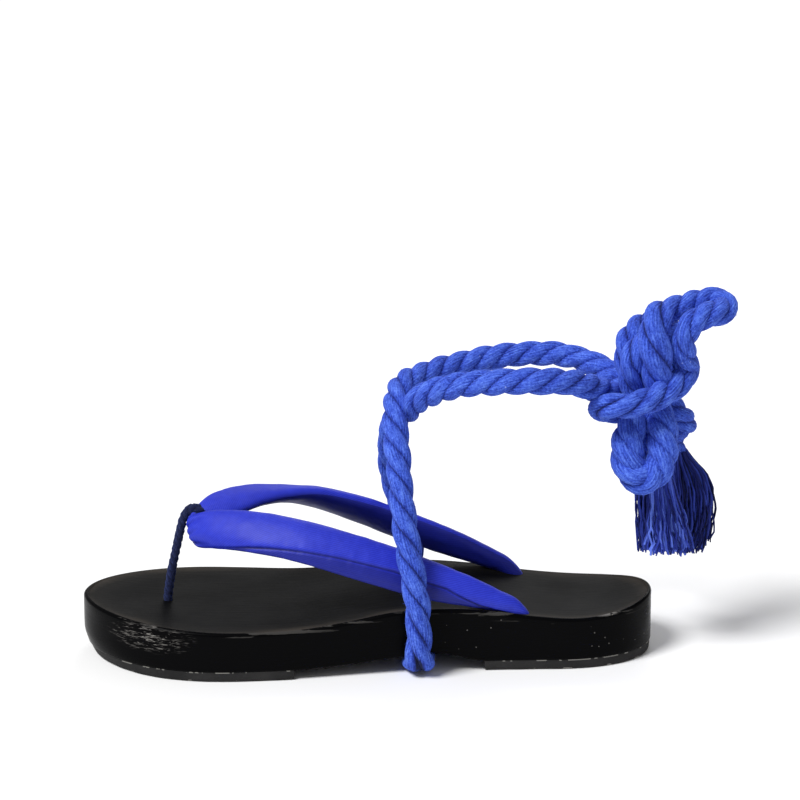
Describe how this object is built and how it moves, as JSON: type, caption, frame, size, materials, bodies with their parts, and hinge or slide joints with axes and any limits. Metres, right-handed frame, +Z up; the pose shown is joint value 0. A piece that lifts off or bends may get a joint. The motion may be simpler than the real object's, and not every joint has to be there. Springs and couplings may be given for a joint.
{
  "type": "geta sandal",
  "caption": "Black lacquered geta sandal with a contoured board, a padded blue V thong strap and a blue cotton rope tied round the ankle, with a bow and frayed ends behind.",
  "frame": {"origin": "on the floor under the middle of the sole", "axes": "+X towards the heel, -X towards the toe, -Y towards the little-toe side of the worn left foot, +Z up"},
  "size_m": [0.2946, 0.1001, 0.1698],
  "materials": {
    "lacquer": "gloss",
    "tread_rubber": "matte",
    "strap_cloth": "matte",
    "post_cord": "matte",
    "cotton_rope": "matte"
  },
  "bodies": {
    "root": {"sole_board": "lacquer", "front_tread": "tread_rubber", "heel_tread": "tread_rubber", "hanao_strap": "strap_cloth", "toe_post": "post_cord", "ankle_rope": "cotton_rope", "bow_knot": "cotton_rope", "bow_loop_upper": "cotton_rope", "bow_loop_back": "cotton_rope", "rope_end_near": "cotton_rope", "rope_end_far": "cotton_rope", "tassel_near": "cotton_rope", "tassel_far": "cotton_rope"}
  },
  "joints": []
}
